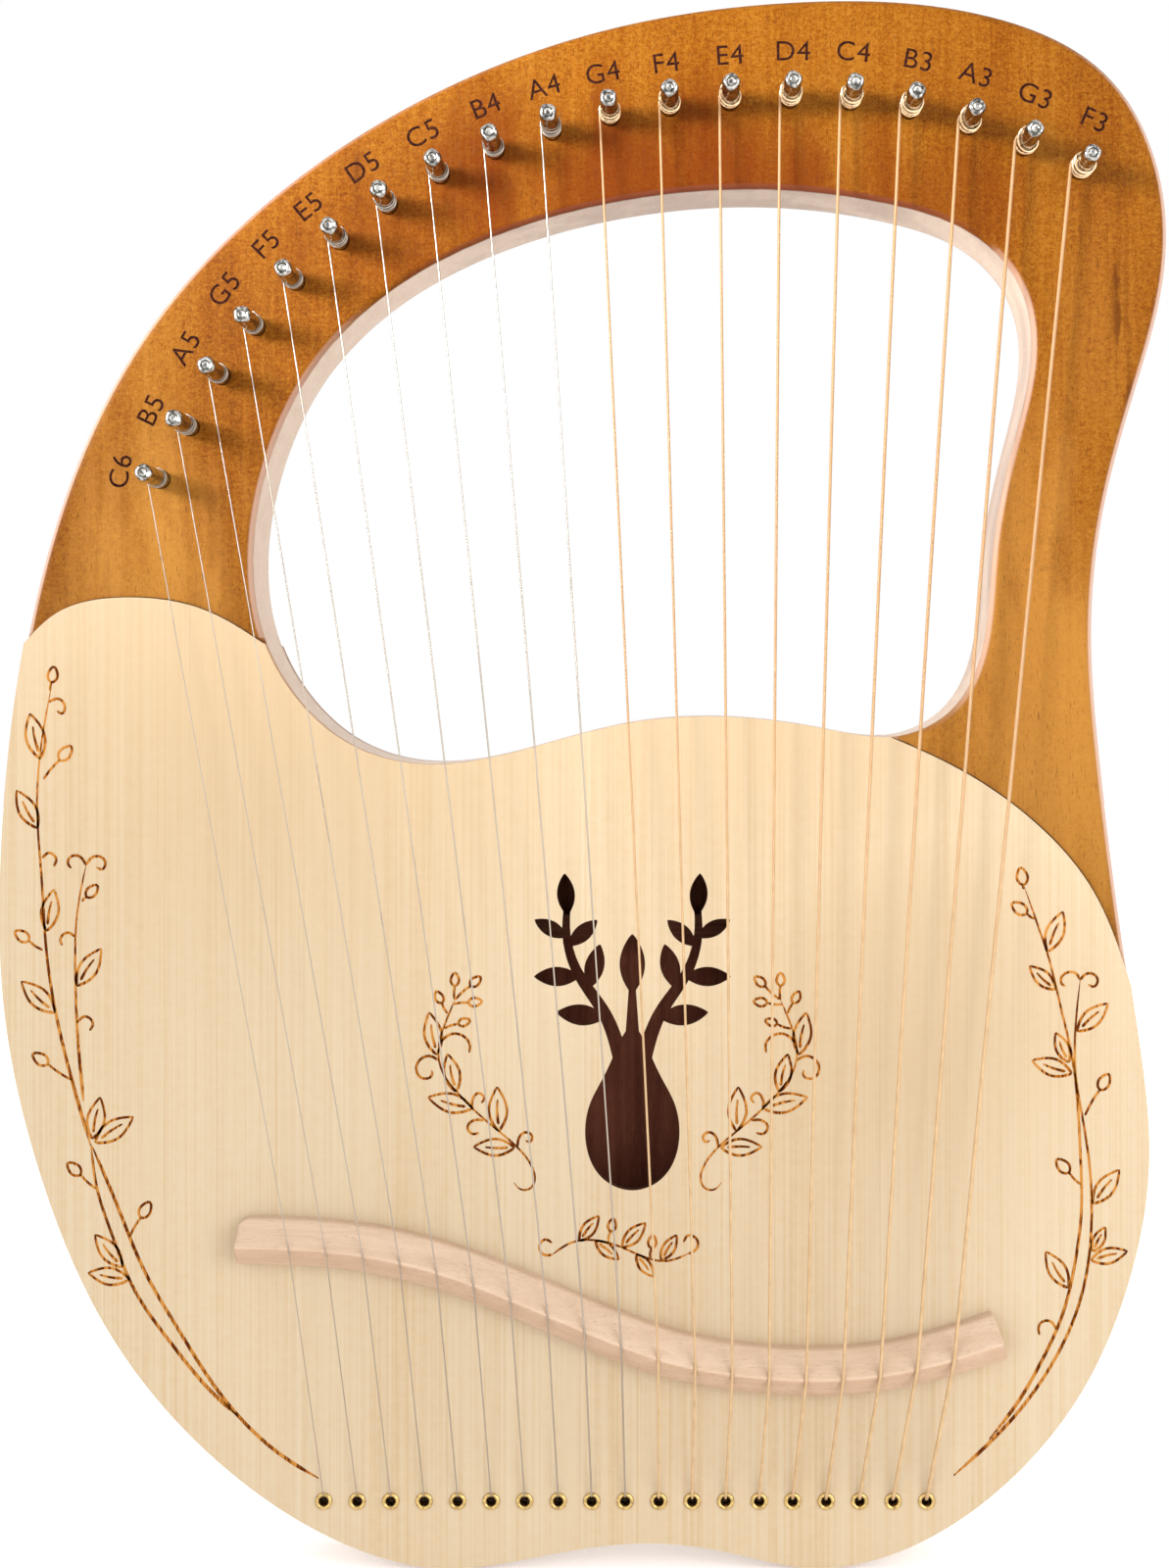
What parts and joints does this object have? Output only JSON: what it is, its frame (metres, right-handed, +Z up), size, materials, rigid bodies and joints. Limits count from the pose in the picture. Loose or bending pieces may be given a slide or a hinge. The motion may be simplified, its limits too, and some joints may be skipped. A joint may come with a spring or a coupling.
{
  "type": "lyre harp",
  "caption": "Hand-held lyre harp: a ring-shaped wooden frame with a hollow body, a row of tuning pins along its yoke, and strings over an S-shaped bridge.",
  "frame": {"origin": "bottom centre of the whole harp's box, under the two lobes it stands on", "axes": "+Z up towards the yoke, -Y out of the soundboard towards the audience, +X towards the bass strings"},
  "size_m": [0.3282, 0.0474, 0.4409],
  "materials": {
    "amber_wood": "amber-stained maple with satin lacquer on the front, natural on the sides",
    "spruce": "pale spruce with fine upright grain, satin",
    "back_wood": "stained wood, satin lacquer",
    "beech": "bare pinkish beech",
    "brace_wood": "bare wood",
    "chrome": "bright nickel or chrome plate",
    "steel_string": "plain drawn steel wire",
    "bronze_string": "wire wound with bronze"
  },
  "bodies": {
    "harp_body": {"frame": "amber_wood", "soundboard": "spruce", "back_board": "back_wood", "bridge": "beech", "bridge_plate": "brace_wood", "soundboard_brace": "brace_wood", "upper_back_brace": "brace_wood", "lower_back_brace": "brace_wood", "string_C6": "steel_string", "string_B5": "steel_string", "string_A5": "steel_string", "string_G5": "steel_string", "string_F5": "steel_string", "string_E5": "steel_string", "string_D5": "steel_string", "string_C5": "steel_string", "string_B4": "steel_string", "string_A4": "steel_string", "string_G4": "bronze_string", "string_F4": "bronze_string", "string_E4": "bronze_string", "string_D4": "bronze_string", "string_C4": "bronze_string", "string_B3": "bronze_string", "string_A3": "bronze_string", "string_G3": "bronze_string", "string_F3": "bronze_string"},
    "pin_C6": {"tuning_pin_C6": "chrome"},
    "pin_B5": {"tuning_pin_B5": "chrome"},
    "pin_A5": {"tuning_pin_A5": "chrome"},
    "pin_G5": {"tuning_pin_G5": "chrome"},
    "pin_F5": {"tuning_pin_F5": "chrome"},
    "pin_E5": {"tuning_pin_E5": "chrome"},
    "pin_D5": {"tuning_pin_D5": "chrome"},
    "pin_C5": {"tuning_pin_C5": "chrome"},
    "pin_B4": {"tuning_pin_B4": "chrome"},
    "pin_A4": {"tuning_pin_A4": "chrome"},
    "pin_G4": {"tuning_pin_G4": "chrome"},
    "pin_F4": {"tuning_pin_F4": "chrome"},
    "pin_E4": {"tuning_pin_E4": "chrome"},
    "pin_D4": {"tuning_pin_D4": "chrome"},
    "pin_C4": {"tuning_pin_C4": "chrome"},
    "pin_B3": {"tuning_pin_B3": "chrome"},
    "pin_A3": {"tuning_pin_A3": "chrome"},
    "pin_G3": {"tuning_pin_G3": "chrome"},
    "pin_F3": {"tuning_pin_F3": "chrome"}
  },
  "joints": [
    {"name": "tune_C6", "type": "hinge", "parent": "harp_body", "child": "pin_C6", "pos_m": [-0.11908, -0.00275, 0.30567], "axis": [0, 1, 0], "range_deg": [-45, 45]},
    {"name": "tune_B5", "type": "hinge", "parent": "harp_body", "child": "pin_B5", "pos_m": [-0.11081, -0.00275, 0.32041], "axis": [0, 1, 0], "range_deg": [-45, 45]},
    {"name": "tune_A5", "type": "hinge", "parent": "harp_body", "child": "pin_A5", "pos_m": [-0.10204, -0.00275, 0.33486], "axis": [0, 1, 0], "range_deg": [-45, 45]},
    {"name": "tune_G5", "type": "hinge", "parent": "harp_body", "child": "pin_G5", "pos_m": [-0.09226, -0.00275, 0.34863], "axis": [0, 1, 0], "range_deg": [-45, 45]},
    {"name": "tune_F5", "type": "hinge", "parent": "harp_body", "child": "pin_F5", "pos_m": [-0.08113, -0.00275, 0.36135], "axis": [0, 1, 0], "range_deg": [-45, 45]},
    {"name": "tune_E5", "type": "hinge", "parent": "harp_body", "child": "pin_E5", "pos_m": [-0.06871, -0.00275, 0.37279], "axis": [0, 1, 0], "range_deg": [-45, 45]},
    {"name": "tune_D5", "type": "hinge", "parent": "harp_body", "child": "pin_D5", "pos_m": [-0.05511, -0.00275, 0.38282], "axis": [0, 1, 0], "range_deg": [-45, 45]},
    {"name": "tune_C5", "type": "hinge", "parent": "harp_body", "child": "pin_C5", "pos_m": [-0.04049, -0.00275, 0.39129], "axis": [0, 1, 0], "range_deg": [-45, 45]},
    {"name": "tune_B4", "type": "hinge", "parent": "harp_body", "child": "pin_B4", "pos_m": [-0.02508, -0.00275, 0.39821], "axis": [0, 1, 0], "range_deg": [-45, 45]},
    {"name": "tune_A4", "type": "hinge", "parent": "harp_body", "child": "pin_A4", "pos_m": [-0.00908, -0.00275, 0.40363], "axis": [0, 1, 0], "range_deg": [-45, 45]},
    {"name": "tune_G4", "type": "hinge", "parent": "harp_body", "child": "pin_G4", "pos_m": [0.00735, -0.00275, 0.40761], "axis": [0, 1, 0], "range_deg": [-45, 45]},
    {"name": "tune_F4", "type": "hinge", "parent": "harp_body", "child": "pin_F4", "pos_m": [0.02403, -0.00275, 0.4103], "axis": [0, 1, 0], "range_deg": [-45, 45]},
    {"name": "tune_E4", "type": "hinge", "parent": "harp_body", "child": "pin_E4", "pos_m": [0.04085, -0.00275, 0.41192], "axis": [0, 1, 0], "range_deg": [-45, 45]},
    {"name": "tune_D4", "type": "hinge", "parent": "harp_body", "child": "pin_D4", "pos_m": [0.05774, -0.00275, 0.41257], "axis": [0, 1, 0], "range_deg": [-45, 45]},
    {"name": "tune_C4", "type": "hinge", "parent": "harp_body", "child": "pin_C4", "pos_m": [0.07462, -0.00275, 0.41195], "axis": [0, 1, 0], "range_deg": [-45, 45]},
    {"name": "tune_B3", "type": "hinge", "parent": "harp_body", "child": "pin_B3", "pos_m": [0.09134, -0.00275, 0.40955], "axis": [0, 1, 0], "range_deg": [-45, 45]},
    {"name": "tune_A3", "type": "hinge", "parent": "harp_body", "child": "pin_A3", "pos_m": [0.10764, -0.00275, 0.4051], "axis": [0, 1, 0], "range_deg": [-45, 45]},
    {"name": "tune_G3", "type": "hinge", "parent": "harp_body", "child": "pin_G3", "pos_m": [0.12347, -0.00275, 0.39918], "axis": [0, 1, 0], "range_deg": [-45, 45]},
    {"name": "tune_F3", "type": "hinge", "parent": "harp_body", "child": "pin_F3", "pos_m": [0.13902, -0.00275, 0.39257], "axis": [0, 1, 0], "range_deg": [-45, 45]}
  ]
}
